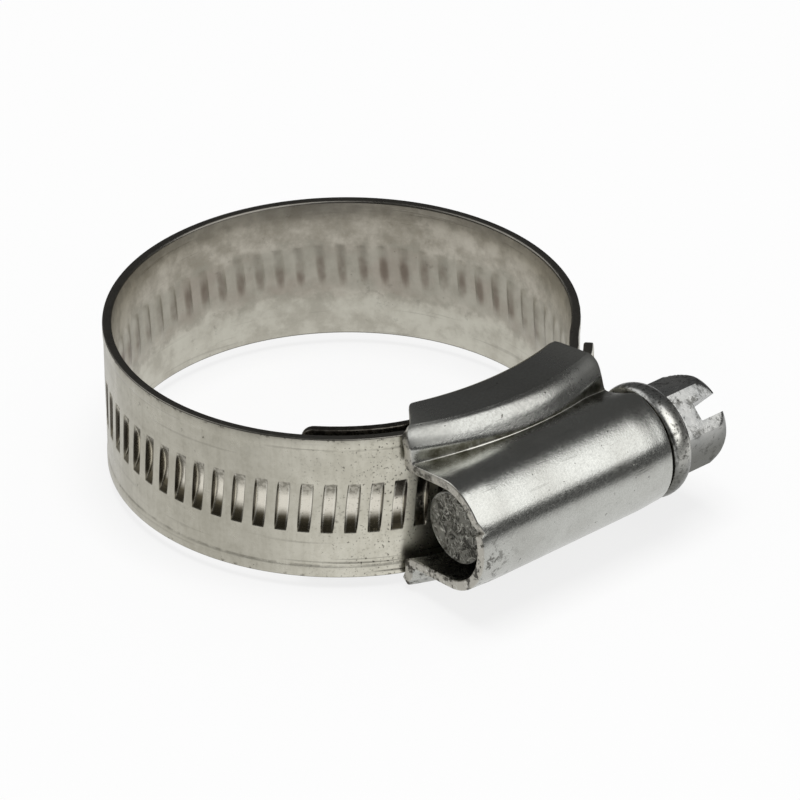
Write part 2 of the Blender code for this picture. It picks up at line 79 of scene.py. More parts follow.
def hermite(points, sharp, steps):
    # cubic curves through control points (..., K, 3): the tangent at a point is half the step from
    # its neighbour before to its neighbour after, and one-sided at an end or a sharp point
    before, after = besides(np.diff(points, axis=-2))
    middle = (before + after) / 2
    sharp = sharp[:, None]
    leaving = np.where(sharp, after, middle)[..., :-1, None, :]
    arriving = np.where(sharp, before, middle)[..., 1:, None, :]
    start, end = points[..., :-1, None, :], points[..., 1:, None, :]
    t = (np.arange(steps) / steps)[:, None]
    curve = (2 * t**3 - 3 * t**2 + 1) * start + (t**3 - 2 * t**2 + t) * leaving
    curve = curve + (3 * t**2 - 2 * t**3) * end + (t**3 - t**2) * arriving
    curve = curve.reshape(*points.shape[:-2], -1, 3)
    return np.concatenate([curve, points[..., -1:, :]], -2)


def inScene(name, data):
    thing = bpy.data.objects.new(name, data)
    scene.collection.objects.link(thing)
    return thing


def newPiece(name, points, faces, finish, sharpAngle, marks, uv=None):
    # points in mm from the saddle's middle, marks are numbers per point that a finish can read
    mesh = bpy.data.meshes.new(name)
    placed = (points + saddleMiddle) * mm
    mesh.from_pydata(placed.tolist(), [], faces)
    for label, values in marks.items():
        layer = mesh.attributes.new(label, "FLOAT", "POINT")
        layer.data.foreach_set("value", np.asarray(values, np.float32).ravel())
    if uv is not None:
        corners = np.empty(len(mesh.loops), np.int32)
        mesh.loops.foreach_get("vertex_index", corners)
        layer = mesh.uv_layers.new(name="alongStrip")
        layer.data.foreach_set("uv", np.asarray(uv, np.float32)[corners].ravel())
    mesh.shade_smooth()
    mesh.set_sharp_from_angle(angle=math.radians(sharpAngle))
    mesh.materials.append(finish)
    return inScene(name, mesh)


# Shader helpers

class Wire:
    # a socket that can be reckoned with: every operator adds its Math node
    def __init__(self, tree, socket):
        self.tree = tree
        self.socket = socket

    def reckon(self, operation, *items):
        return self.tree.out("Math", {"operation": operation}, dict(enumerate(items)))

    def __add__(self, other):
        return self.reckon("ADD", self, other)

    def __radd__(self, other):
        return self.reckon("ADD", other, self)

    def __sub__(self, other):
        return self.reckon("SUBTRACT", self, other)

    def __rsub__(self, other):
        return self.reckon("SUBTRACT", other, self)

    def __mul__(self, other):
        return self.reckon("MULTIPLY", self, other)

    def __rmul__(self, other):
        return self.reckon("MULTIPLY", other, self)

    def __truediv__(self, other):
        return self.reckon("DIVIDE", self, other)

    def __rtruediv__(self, other):
        return self.reckon("DIVIDE", other, self)

    def __abs__(self):
        return self.reckon("ABSOLUTE", self)

    def least(self, other):
        return self.reckon("MINIMUM", self, other)

    def ramp(self, low, high, start=0.0, end=1.0):  # smooth step from low to high
        settings = {"interpolation_type": "SMOOTHSTEP"}
        values = {0: self, 1: low, 2: high, 3: start, 4: end}
        return self.tree.out("MapRange", settings, values)


class Tree:
    # node tree of a material or a world: add makes any node, out gives a new node's output
    def __init__(self, owner):
        owner.use_nodes = True
        self.nodes = owner.node_tree.nodes
        self.links = owner.node_tree.links
        self.nodes.clear()

    def add(self, kind, settings=None, values=None):
        node = self.nodes.new("ShaderNode" + kind)
        for key, value in (settings or {}).items():
            setattr(node, key, value)
        for key, value in (values or {}).items():
            if isinstance(value, Wire):
                self.links.new(value.socket, node.inputs[key])
            else:
                node.inputs[key].default_value = value
        return node

    def out(self, kind, settings=None, values=None, socket=0):
        return Wire(self, self.add(kind, settings, values).outputs[socket])

    def noise(self, where, scale, detail=3.0, roughness=0.55, distortion=0.0):
        values = {"Vector": where, "Scale": scale, "Detail": detail, "Roughness": roughness}
        return self.out("TexNoise", {}, {**values, "Distortion": distortion})

    def noises(self, where, table):  # one noise for each row of settings, in the table's order
        return [self.noise(where, *settings) for settings in table.values()]

    def streaks(self, where, table):  # each row: scale of the axes, turn, and the noise's settings
        found = []
        for scale, turn, *settings in table.values():
            turned = self.out("Mapping", {}, {"Vector": where, "Scale": scale, "Rotation": turn})
            found.append(self.noise(turned, *settings))
        return found

    def mixed(self, share, first, second, blend="MIX"):  # colours, or (r, g, b) in linear light
        first, second = (c if isinstance(c, Wire) else (*c, 1.0) for c in (first, second))
        settings = {"data_type": "RGBA", "blend_type": blend}
        return self.out("Mix", settings, {0: share, 6: first, 7: second}, 2)

    def layered(self, tone, look, *layers):  # each layer: its share and the name of its colour
        for share, name in layers:
            tone = self.mixed(share, tone, look[name])
        return tone

    def dot(self, first, second):
        settings = {"operation": "DOT_PRODUCT"}
        return self.out("VectorMath", settings, {0: first, 1: second}, "Value")

    def measured(self, where, axis):  # mm along an axis, from coordinates in metres
        return self.dot(where, [part / mm for part in axis])

    def marks(self, *labels):
        return [self.out("Attribute", {"attribute_name": label}, {}, "Fac") for label in labels]

    def bump(self, height, distance, strength):
        values = {"Height": height, "Distance": distance, "Strength": strength}
        return self.out("Bump", {}, values)

    def ray(self, kind):  # 1 for rays of that kind, otherwise 0
        return self.out("LightPath", socket=f"Is {kind} Ray")

    def finish(self, kind, shader):
        self.links.new(shader.socket, self.add(kind).inputs[0])


def newMetal(name, build):
    # build gets the tree and the Object coordinates, and returns colour, roughness and normal
    material = bpy.data.materials.new(name)
    tree = Tree(material)
    where = tree.out("TexCoord", socket="Object")
    colour, roughness, normal = build(tree, where)
    values = {"Base Color": colour, "Roughness": roughness, "Normal": normal, "Metallic": 1.0}
    tree.finish("OutputMaterial", tree.out("BsdfPrincipled", {}, values))
    return material


# Place of the drawing in the part's frame

layout = {
    "hoopShift": 2.2,  # the saddle's middle lies this far right of the hoop's centre
    "wormOffset": 23.13,  # hoop's centre to the worm's axis
    "collarRadius": 4.9,
    "headEnd": 16.3,
    "tunnelEnds": (10.9, 9.3),  # left and right of the saddle's middle
    "lipEnds": (11.1, 8.1),
}
bandLow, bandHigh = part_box("band")
screwLow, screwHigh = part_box("worm_screw")
saddleMiddle = np.array([
    screwHigh.x / mm - layout["headEnd"],
    screwLow.y / mm + layout["collarRadius"] + layout["wormOffset"],
    (bandLow.z + bandHigh.z) / 2 / mm,
])


# Finishes. Colours are linear, lengths in the zones are mm, noise rows are scale per metre,
# detail, roughness and distortion, and the bare shares and noise levels go from 0 to 1.

bandLook = {
    "clean": (0.79, 0.765, 0.66),
    "stained": (0.66, 0.635, 0.535),
    "dulled": (0.68, 0.675, 0.67),  # how much of that is left away from the housing
    "insideLight": (0.58, 0.545, 0.47),
    "insideDark": (0.37, 0.34, 0.28),
    "insideLow": (0.64, 0.625, 0.54),
    "slotRow": (0.40, 0.385, 0.325),
    "rust": (0.14, 0.105, 0.08),
    "rustRow": (0.41, 0.37, 0.315),
    "pocketFloor": (0.82, 0.78, 0.68),
    # painted shade on the slots' floors, at their upper end and at their foot
    "pocketTop": (0.28, 0.265, 0.22),
    "pocketFoot": (0.13, 0.113, 0.075),
    # painted highlight: a light line along the foot of the slot walls
    "wearAndHighlight": (0.90, 0.88, 0.80),
    # painted shade: the strip's rims and the top of its inner face are darkened
    "edge": (0.20, 0.19, 0.17),
    # dark tone of real dirt, specks and pits, and also of painted shade on the slot walls, beside
    # the lip and on the tongue
    "dirtAndShade": (0.05, 0.042, 0.032),
    "roughness": 0.30,
    "insideRoughness": 0.36,
    "relief": 0.00002,  # metres
}
bandNoise = {
    "cloud": (150.0, 4.0, 0.6),
    "mottle": (620.0, 5.0, 0.65),
    "fine": (2600.0, 3.0, 0.6),
    "wave": (260.0, 4.0, 0.6),
    "contour": (210.0, 5.0, 0.65),
    "crowd": (210.0, 2.0),
    "speck": (2300.0, 3.0, 0.6),
    "pit": (5200.0, 2.0, 0.5),
    "soot": (900.0, 4.0, 0.7),
    "chip": (1300.0, 3.0, 0.6),
    "pepper": (4200.0, 3.0, 0.6),
}
bandStreaks = {
    "drawn": ((0.12, 1.0, 1.0), (0.0, 0.0, 0.0), 2600.0, 3.0),
    "rubbed": ((1.0, 0.10, 1.0), (0.0, 0.0, 0.5), 2400.0, 2.0),
    "scored": ((0.03, 1.0, 1.0), (0.0, 0.0, 0.06), 2200.0, 2.0),
}
bandZones = {
    "near": (5.0, 14.0),  # along -Y, towards the worm
    "far": (4.0, 13.0),
    "besideLip": (12.3, 12.8),
    "scored": (2.4, 3.6),  # off the strip's middle line
    "waves": 3.2,
    "low": (1.8, 3.4),
    "row": (1.5, 2.8),
    "tide": (2.0, 2.4, 3.1),
    "streak": (0.5, 2.4),
    "shaded": (4.6, 6.4),
    "pocketTop": (0.5, 1.6),
    "pocketUpper": (0.2, 0.7),
    "pocketFoot": (-1.35, -0.35),
    "rolledIn": (5.26, 5.36),  # either side of the roll line
    "rolledOut": (5.42, 5.56),
    "rolledLow": (0.0, 1.0),
    "rim": (6.1, 6.4),
}


def bandFinish(tree, where):
    look, zone = bandLook, bandZones
    strip = tree.out("UVMap", {"uv_map": "alongStrip"})
    inside, pocket, mouth, wall = tree.marks("inside", "pocket", "mouth", "wall")
    bulge, edge, corner, tongue = tree.marks("bulge", "edge", "corner", "tongue")
    outside = 1 - inside
    height = tree.measured(strip, (0, 1, 0))  # above the strip's middle line
    off = abs(height)
    byHousing = tree.measured(where, (0, -1, 0))
    near = byHousing.ramp(*zone["near"])
    far = 1 - byHousing.ramp(*zone["far"])
    noises = tree.noises(where, bandNoise)
    cloud, mottle, fine, wave, contour, crowd, speck, pit, soot, chip, pepper = noises
    drawn, rubbed, scored = tree.streaks(strip, bandStreaks)

    # outer face
    stain = (cloud * 0.6 + mottle * 0.4).ramp(0.38, 0.66)
    stain = stain * 0.8 + (rubbed * 0.5 + fine * 0.5).ramp(0.42, 0.60) * 0.45
    outsideTone = tree.mixed(stain.least(1.0), look["clean"], look["stained"])
    outsideTone = tree.mixed(far, outsideTone, look["dulled"], "MULTIPLY")

    # inner face: stains, a lighter foot, a dull row along the slots, tide lines and rust
    wavy = height + (wave - 0.5) * zone["waves"]
    wavyOff = abs(wavy)
    insideStain = (cloud * 0.45 + mottle * 0.55).ramp(0.36, 0.64)
    insideTone = tree.mixed(insideStain, look["insideLight"], look["insideDark"])
    low = (0.0 - wavy).ramp(*zone["low"])
    insideTone = tree.mixed(low * (0.85 - insideStain * 0.4), insideTone, look["insideLow"])
    row = 1 - wavyOff.ramp(*zone["row"])
    rowTone = tree.mixed(cloud.ramp(0.44, 0.60), look["slotRow"], look["rustRow"])
    insideTone = tree.mixed(row * (0.45 + cloud * 0.5), insideTone, rowTone)
    tide = (1 - abs(contour - 0.5).ramp(0.004, 0.045)) * 0.22
    rowEdge = wavyOff.ramp(*zone["tide"][:2]) * (1 - wavyOff.ramp(*zone["tide"][1:]))
    tide = (tide + rowEdge * 0.5) * mottle.ramp(0.42, 0.62)
    streak = bulge.ramp(0.2, 0.9) * (1 - off.ramp(*zone["streak"]))
    streak = streak * cloud.ramp(0.30, 0.58) * 0.72
    shaded = height.ramp(*zone["shaded"]) * 0.45
    layers = (tide, "slotRow"), (streak, "rust"), (shaded, "edge")
    tone = tree.mixed(inside, outsideTone, tree.layered(insideTone, look, *layers))

    # pockets of the slots: a lighter floor, with painted shade at its upper end, at its foot and in
    # the upper part of the slots beside the lip
    top = height.ramp(*zone["pocketTop"]) * (0.66 + fine.ramp(0.42, 0.58) * 0.34)
    beside = byHousing.ramp(*zone["besideLip"]) * height.ramp(*zone["pocketUpper"]) * 0.85
    foot = 1 - (height + (mottle - 0.5)).ramp(*zone["pocketFoot"])
    layers = (top, "pocketTop"), (foot, "pocketFoot"), (beside, "dirtAndShade")
    tone = tree.mixed(mouth, tone, tree.layered(look["pocketFloor"], look, *layers))
    # painted shade darkens the slot walls, and a painted highlight runs along their foot
    walls = wall.ramp(0.1, 0.7) * 0.88
    tone = tree.layered(tone, look, (walls, "dirtAndShade"), (corner * 0.55, "wearAndHighlight"))

    # dark marks, more of them towards the housing, then painted shade on the rims and the tongue
    scored = scored.ramp(0.62, 0.68) * off.ramp(*zone["scored"]) * (0.25 + near * 0.75)
    crowded = crowd.ramp(0.45, 0.62)
    many = near * 0.035
    specks = (speck + many).ramp(0.70, 0.74) * crowded * (0.35 + outside * 0.65)
    pits = (pit + many * 1.6).ramp(0.69, 0.75) * near * outside
    grime = soot.ramp(0.58, 0.72) * crowded * (0.25 + near * 0.4)
    rolled = off.ramp(*zone["rolledIn"]) * (1 - off.ramp(*zone["rolledOut"]))
    rolled = rolled * (1 - height.ramp(*zone["rolledLow"]) * (1 - near * 0.8))
    rolled = rolled * mottle.ramp(0.36, 0.62) * 0.42
    nicked = off.ramp(*zone["rim"]) * chip.ramp(0.58, 0.64)
    peppered = pepper.ramp(0.56, 0.66) * mottle.ramp(0.45, 0.60) * (0.10 + near * 0.16)
    dark = specks * 0.75 + pits * 0.75 + grime + scored * 0.6
    dark = dark + (rolled + nicked * 0.6 + peppered) * outside
    # painted shade: the tongue is darkened towards its inner end
    tongue = tongue * (0.5 + fine.ramp(0.40, 0.55) * 0.3)
    layers = (dark.least(0.92), "dirtAndShade"), (edge * 0.9, "edge"), (tongue, "dirtAndShade")
    tone = tree.layered(tone, look, *layers)

    roughness = look["roughness"] + inside * (look["insideRoughness"] - look["roughness"])
    roughness = roughness + (mottle - 0.5) * 0.22 + specks * 0.3 - pocket * 0.08
    relief = drawn * 0.5 + mottle * 0.8 + rubbed * 0.35 - specks * 1.5 - pits - scored
    return tone, roughness, tree.bump(relief, look["relief"], 0.55)


housingLook = {
    "bright": (0.61, 0.615, 0.58),
    "dull": (0.51, 0.51, 0.475),
    "grain": (0.33, 0.33, 0.31),
    "rim": (0.56, 0.54, 0.48),
    # light flecks on the rims, and a painted highlight along the valley crease
    "fleckAndHighlight": (0.85, 0.84, 0.78),
    # painted shade in the folds between the web and the lip's foot
    "foldShade": (0.10, 0.095, 0.065),
    "dirtAndShade": (0.05, 0.045, 0.035),
    "roughness": 0.21,
    "relief": 0.000018,  # metres
}
housingNoise = {
    "cloud": (190.0, 3.0, 0.5),
    "grain": (3600.0, 3.0, 0.65),
    "rough": (1100.0, 5.0, 0.7),
    "sparkle": (7000.0, 2.0, 0.6),
    "pit": (2000.0, 2.0, 0.5),
}
housingStreaks = {
    "drawn": ((0.15, 1.0, 1.0), (0.0, 0.0, 0.0), 1500.0, 3.0),
    "scratch": ((0.08, 1.0, 1.0), (0.0, 0.35, 0.8), 3000.0, 1.0),
}
housingZones = {
    "leftEnd": (4.5, 8.5),  # along -X
    "below": (-8.2, -4.6),  # along -Z
    "lowerHalf": (-10.0, -6.5),
    "lipMiddle": 0.7,  # along X
    "lipEnds": (4.0, 9.0),  # either side of it
}


def housingFinish(tree, where):
    look, zone = housingLook, housingZones
    rim, foldShade, crest, lip = tree.marks("rim", "foldShade", "crest", "lip")
    cloud, grain, rough, sparkle, pit = tree.noises(where, housingNoise)
    drawn, scratch = tree.streaks(where, housingStreaks)
    scratch = scratch.ramp(0.70, 0.73)
    down = tree.measured(where, (0, 0, -1))
    below, lowerHalf = down.ramp(*zone["below"]), down.ramp(*zone["lowerHalf"])
    leftEnd = tree.measured(where, (-1, 0, 0)).ramp(*zone["leftEnd"])
    fromLip = abs(tree.measured(where, (1, 0, 0)) - zone["lipMiddle"])
    lipEnds = fromLip.ramp(*zone["lipEnds"]) * lip

    pits = pit.ramp(0.71, 0.76) + rough.ramp(0.51, 0.61) * lowerHalf * (0.10 + leftEnd * 1.1)
    burnt = rough.ramp(0.50, 0.62) * rim * 0.8
    tone = tree.layered(
        look["bright"], look,
        (cloud.ramp(0.36, 0.70), "dull"),
        (sparkle.ramp(0.42, 0.60) * 0.18, "grain"),
        (lip * (0.34 + grain.ramp(0.44, 0.58) * 0.18), "grain"),
        # painted shade in the folds by the valley, weaker on the lower side and at the left end
        (foldShade * (0.62 + rough.ramp(0.40, 0.60) * 0.30), "foldShade"),
        # painted highlight along the valley crease
        (crest.ramp(0.50, 0.90) * 0.9, "fleckAndHighlight"),
        (rim, "rim"),
        (grain.ramp(0.56, 0.66) * rim * 0.6, "fleckAndHighlight"),
        ((pits * 0.7 + burnt + scratch * 0.12).least(0.9), "dirtAndShade"),
    )

    roughness = look["roughness"] + (grain - 0.5) * 0.24 + (cloud - 0.5) * 0.04 + rim * 0.22
    roughness = roughness + foldShade * 0.12 + below * 0.04 + lipEnds * (0.08 + cloud * 0.2)
    height = grain * 0.6 + sparkle * 0.5 + drawn * 0.4 - pits * 1.2 + burnt * 1.5 - scratch * 0.2
    return tone, roughness, tree.bump(height, look["relief"], 0.55)


screwLook = {
    "plated": (0.42, 0.425, 0.415),
    "wearAndHighlight": (0.58, 0.58, 0.56),
    # painted shade on the underside of the collar and head
    "under": (0.18, 0.18, 0.165),
    "pit": (0.05, 0.048, 0.04),
    "sheared": (0.32, 0.315, 0.28),
    # light flecks on the torn end, and a painted highlight on the collar
    "fleckAndHighlight": (0.88, 0.87, 0.80),
    "roughness": 0.30,
    "relief": 0.00003,  # metres
}
screwNoise = {
    "cloud": (420.0, 4.0, 0.6),
    "grain": (2600.0, 4.0, 0.65),
    "smudge": (900.0, 5.0, 0.7),
    "pit": (2300.0, 4.0, 0.65),
    "speckle": (3600.0, 3.0, 0.6),
    "torn": (900.0, 6.0, 0.75, 1.6),
    "fleckAndHighlight": (1300.0, 5.0, 0.7, 2.4),
}
screwZones = {
    "under": (-10.0, -6.0),  # along -Z: the underside of the head
    "collarFrom": (11.6, 12.0),  # along X
    "collarTo": (13.6, 14.2),
    "shineFrom": (6.5, 9.5),  # along Z: the lit side of the collar
    "shineTo": (11.2, 12.3),
}


def screwFinish(tree, where):
    look, zone = screwLook, screwZones
    sheared, = tree.marks("sheared")
    cloud, grain, smudge, pit, speckle, torn, fleckAndHighlight = tree.noises(where, screwNoise)
    under = tree.measured(where, (0, 0, -1)).ramp(*zone["under"])
    alongX, upwards = (tree.measured(where, axis) for axis in ((1, 0, 0), (0, 0, 1)))
    collar = alongX.ramp(*zone["collarFrom"]) * (1 - alongX.ramp(*zone["collarTo"]))
    shine = upwards.ramp(*zone["shineFrom"]) * (1 - upwards.ramp(*zone["shineTo"])) * collar

    smudge, pitted = smudge.ramp(0.50, 0.66), pit.ramp(0.60, 0.70)
    tone = tree.layered(
        look["plated"], look,
        (cloud.ramp(0.38, 0.64), "wearAndHighlight"),
        # painted shade on the underside
        (under, "under"),
        # painted highlight on the collar's upper side
        (shine * 0.7, "fleckAndHighlight"),
        (speckle.ramp(0.55, 0.60) * collar * 0.5, "pit"),
        ((smudge * 0.72 + pitted * 0.5).least(0.9), "pit"),
    )
    flecks = fleckAndHighlight.ramp(0.54, 0.60)
    layers = (torn.ramp(0.42, 0.56), "sheared"), (flecks * 0.8, "fleckAndHighlight")
    tone = tree.mixed(sheared, tone, tree.layered(look["pit"], look, *layers))

    roughness = look["roughness"] + (grain - 0.5) * 0.26 + pitted * 0.2 + sheared * 0.12
    height = grain * 0.7 - pitted * 0.7 - smudge * 0.4 + (torn + flecks * 0.3) * sheared * 14.0
    return tone, roughness, tree.bump(height, look["relief"], 0.7)


bandMetal = newMetal("bandSteel", bandFinish)
housingMetal = newMetal("housingSteel", housingFinish)
screwMetal = newMetal("screwSteel", screwFinish)
print("finishes made")


# The strip: a closed cross-section carried along a two-lap spiral

strip = {
    "outside": 39.06,
    "width": 13.0,
    "thickness": 0.78,
    "gap": 0.6,
    "tongueReach": 6.5,
    "tongueDark": (14.0, 20.0),  # from the inner end, where its painted shade fades
    "tipReach": 3.15,
    "endCorner": 1.1,
    "rollLine": 1.1,  # margin along each edge that is set out a little
    "rollHeight": 0.05,
    "rollBlend": 0.22,
    "outerRound": 0.11,
    "innerRound": 0.2,
    "saddleRadius": 24.6,
    "saddleDrop": 0.4,
    "saddleHold": 9.2,
    "saddleFade": 3.4,
    "facing": 0.3,  # cosine of the turn beyond which a point can't lie in the saddle
    "pathTurns": (-80.0, 440.0, 0.25),  # degrees: first, last and step
    "edgeRows": (-0.25, 0.0, 0.07, 0.14, 0.22, 0.5),  # rows of points, from the roll line
    "slotRows": (0.05, 0.5),  # and from the slot's end
    "innerRow": 0.3,
    "headSteps": 30,
    "tailSteps": 5,
}
slot = {
    "pitch": 1.845,
    "length": 4.63,
    "width": 1.03,
    "depth": 0.5,
    "wall": 0.09,
    "bump": 0.20,
    "bumpWidth": 1.25,
    "bumpPower": 1.5,
    "tipMargin": 4.05,
    "plainStart": 16.5,
    "lean": 1.845 / (2 * math.pi * 3.275),
    "leanFade": 2.5,
    "rows": (0.0, 0.14, 0.28, 0.42, 0.56, 0.69, 0.8, 0.89, 0.95, 0.985, 1.0),  # share of its half
    "lead": (-0.66, -0.545),  # columns of points, from the slot's middle
    "wallColumns": (0.0, 0.03, 0.06, 0.09),  # from its side
    "floorColumn": -0.28,
    "wallMark": (-0.11, -0.02, 0.0, 0.05),  # from its side: where the wall's mark comes and goes
    "mouthMark": 0.05,
}
saddleFront = strip["outside"] / 2 + strip["saddleDrop"]
saddleCentre = strip["saddleRadius"] - saddleFront
layerStep = strip["thickness"] + strip["gap"]
quarterBend = np.radians([0.0, 22.5, 45.0, 67.5, 90.0])


def stripRadius(turn):
    # hoop: R + layerStep per lap; saddle: the circle about saddleCentre, seen from the hoop's
    # centre; blended by how far across the saddle the point lies
    lap = np.where(turn < 0, -1, np.where(turn > 2 * np.pi, 1, 0))
    half = strip["thickness"] / 2
    plain = strip["outside"] / 2 - half + layerStep * lap
    saddle = strip["saddleRadius"] - half - np.where(turn < np.pi, layerStep, 0.0)
    shift = layout["hoopShift"]
    along = shift * np.sin(turn) - saddleCentre * np.cos(turn)
    held = along + np.sqrt(saddle**2 - shift**2 - saddleCentre**2 + along**2)
    across = np.abs(held * np.sin(turn) - shift)
    low, high = (strip["saddleHold"] + strip["saddleFade"] * side / 2 for side in (-1, 1))
    hold = np.where(np.cos(turn) > strip["facing"], 1 - smoothStep(across, low, high), 0.0)
    return plain + (held - plain) * hold


turn = np.radians(np.arange(*strip["pathTurns"]))
pathRadius = stripRadius(turn)
pathX = pathRadius * np.sin(turn) - layout["hoopShift"]
pathY = -pathRadius * np.cos(turn)
pathLength = np.r_[0.0, np.cumsum(np.hypot(np.diff(pathX), np.diff(pathY)))]
normalX = np.gradient(pathY, pathLength)
normalY = -np.gradient(pathX, pathLength)


def lengthAt(x, outer):
    near = (turn > np.pi if outer else turn < np.pi) & (np.cos(turn) > strip["facing"])
    return float(np.interp(x, pathX[near], pathLength[near]))


def onStrip(length, offset, z):
    # points at a length along the strip, an offset outwards and a height
    outX, outY = (np.interp(length, pathLength, normal) for normal in (normalX, normalY))
    x = np.interp(length, pathLength, pathX) + offset * outX
    y = np.interp(length, pathLength, pathY) + offset * outY
    return np.stack([x, y, z + 0 * x], -1)


def stripSection():
    # closed outline (height, offset from the middle plane, which face), round corners on both faces
    half, thick = strip["width"] / 2, strip["thickness"] / 2
    outer, inner = strip["outerRound"], strip["innerRound"]
    slotEnd, roll = slot["length"] / 2, half - strip["rollLine"]
    middle = (slotEnd + roll) / 2
    inSlot = slotEnd * np.array(slot["rows"])
    besideSlot = slotEnd + np.array(strip["slotRows"])
    byEdge = roll + np.array(strip["edgeRows"])
    up = np.r_[inSlot, besideSlot, middle, byEdge, half - outer]
    rollEnd = roll + strip["rollBlend"]
    down = [*inSlot[::2], slotEnd + strip["innerRow"], middle, roll, rollEnd, half - inner]
    down = np.unique(down)[::-1]
    outerRows, innerRows = np.r_[-up[:0:-1], up], np.r_[down, -down[-2::-1]]
    outerBend, innerBend = quarterBend[1:], quarterBend[:-1]
    outerZ = half - outer + outer * np.sin(outerBend)
    outerOffset = thick - outer * (1 - np.cos(outerBend))
    innerZ = half - inner + inner * np.cos(innerBend)
    innerOffset = -thick + inner - inner * np.sin(innerBend)
    z = [outerRows, outerZ, innerZ, innerRows, -innerZ[::-1], -outerZ[::-1]]
    front, back = np.full(len(outerRows), thick), np.full(len(innerRows), -thick)
    offset = [front, outerOffset, innerOffset, back, innerOffset[::-1], outerOffset[::-1]]
    bends = np.zeros(len(outerZ) + len(innerZ))
    side = [np.ones_like(front), bends, -np.ones_like(back), bends]
    return tuple(np.concatenate(parts) for parts in (z, offset, side))


def stripColumns(start, end, middles):
    # lengths of the cross-sections: rounded ends, plain stretches, and a cell round each slot
    pitch, half, corner = slot["pitch"], slot["width"] / 2, strip["endCorner"]
    rounding = corner * (1 - np.cos(np.radians(np.arange(0.0, 91.0, 11.25))))
    head = np.linspace(start + corner, middles[0] - pitch / 2, strip["headSteps"])
    tail = np.linspace(middles[-1] + pitch / 2, end - corner, strip["tailSteps"])
    walls = np.array(slot["wallColumns"]) - half
    cell = np.r_[-pitch / 2, slot["lead"], walls, slot["floorColumn"], 0.0]
    cell = np.r_[cell, -cell[-2:0:-1]]
    inSlots = (middles[:, None] + cell).ravel()
    return np.r_[start + rounding[:-1], head[:-1], inSlots, tail, end - rounding[-2::-1]]


def makeStrip():
    pitch, half, corner = slot["pitch"], slot["width"] / 2, strip["endCorner"]
    halfWidth = strip["width"] / 2
    start = lengthAt(-layout["tunnelEnds"][0], False) - strip["tongueReach"]
    end = lengthAt(layout["lipEnds"][1], True) + strip["tipReach"]
    first = end - slot["tipMargin"]
    count = int((first - lengthAt(0.0, False) - slot["plainStart"]) / pitch)
    middles = first - pitch * np.arange(count, -1, -1)
    columns = stripColumns(start, end, middles)
    z, offset, side = stripSection()

    # the outline narrows round each end's corners, and leans with the slots between them
    fromEnd = np.minimum(np.minimum(columns - start, end - columns), corner)
    narrow = halfWidth - corner + np.sqrt(corner**2 - (corner - fromEnd) ** 2)
    height = z[None, :] * (narrow / halfWidth)[:, None]
    slotsStart, slotsEnd = middles[0] - pitch / 2, middles[-1] + pitch / 2
    fade = smoothStep(columns, slotsStart - slot["leanFade"], slotsStart)
    fade = fade * (1 - smoothStep(columns, slotsEnd, end - corner))
    length = columns[:, None] + height * slot["lean"] * fade[:, None]

    # pocket: depth * (1 - (2h / slot length)^2), with leaning walls; bulge behind it:
    # bump * (1 - (2s / bump width)^2)^bumpPower, with h the height and s the way from the slot
    nearest = middles[np.abs(columns[:, None] - middles[None, :]).argmin(1)]
    fromSlot = np.abs(columns - nearest)[:, None]
    arc = np.clip(1 - (2 * height / slot["length"]) ** 2, 0, 1)
    pressed = arc * (1 - smoothStep(fromSlot, half - slot["wall"], half)) * (side > 0)
    swell = np.clip(1 - (2 * fromSlot / slot["bumpWidth"]) ** 2, 0, 1) ** slot["bumpPower"]
    bulge = arc * swell * (side < 0)
    rollStart = halfWidth - strip["rollLine"]
    roll = smoothStep(np.abs(z), rollStart, rollStart + strip["rollBlend"]) * strip["rollHeight"]
    out = offset + roll - slot["depth"] * pressed - slot["bump"] * bulge
    points = onStrip(length, out, height)

    rows, around = length.shape
    lastRow = (rows - 1) * around
    faces = tubeFaces(rows, around).tolist()
    faces += [list(range(around)), list(range(rows * around - 1, lastRow - 1, -1))]
    rise, full, fall, gone = half + np.array(slot["wallMark"])
    onWall = smoothStep(fromSlot, rise, full) * (1 - smoothStep(fromSlot, fall, gone))
    atFoot = np.isclose(fromSlot, half - slot["wall"], rtol=0, atol=0.005)
    inMouth = 1 - smoothStep(fromSlot, half - slot["mouthMark"], half)
    tongue = 1 - smoothStep(columns - start, *strip["tongueDark"])
    marks = {
        "tongue": tongue[:, None] + 0 * length,
        "pocket": pressed,
        "mouth": inMouth * np.clip(arc * 12, 0, 1) * (side > 0),
        "wall": onWall * arc * (side > 0),
        "bulge": bulge,
        "corner": np.clip(arc * 1.5, 0, 1) * (side > 0) * atFoot,
        "inside": (side < 0) + 0 * length,
        "edge": (side == 0) + 0 * length,
    }
    uv = np.stack([length, height], -1).reshape(-1, 2) * mm
    piece = newPiece("slottedStrip", points.reshape(-1, 3), faces, bandMetal, 35, marks, uv)
    return piece, middles


slottedStrip, slotMiddles = makeStrip()
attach(slottedStrip, "clamp")
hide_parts("band")
print("strip made:", len(slottedStrip.data.polygons), "faces,", len(slotMiddles), "slots")


# The housing: one sheet, its section carried from the left end to the right end

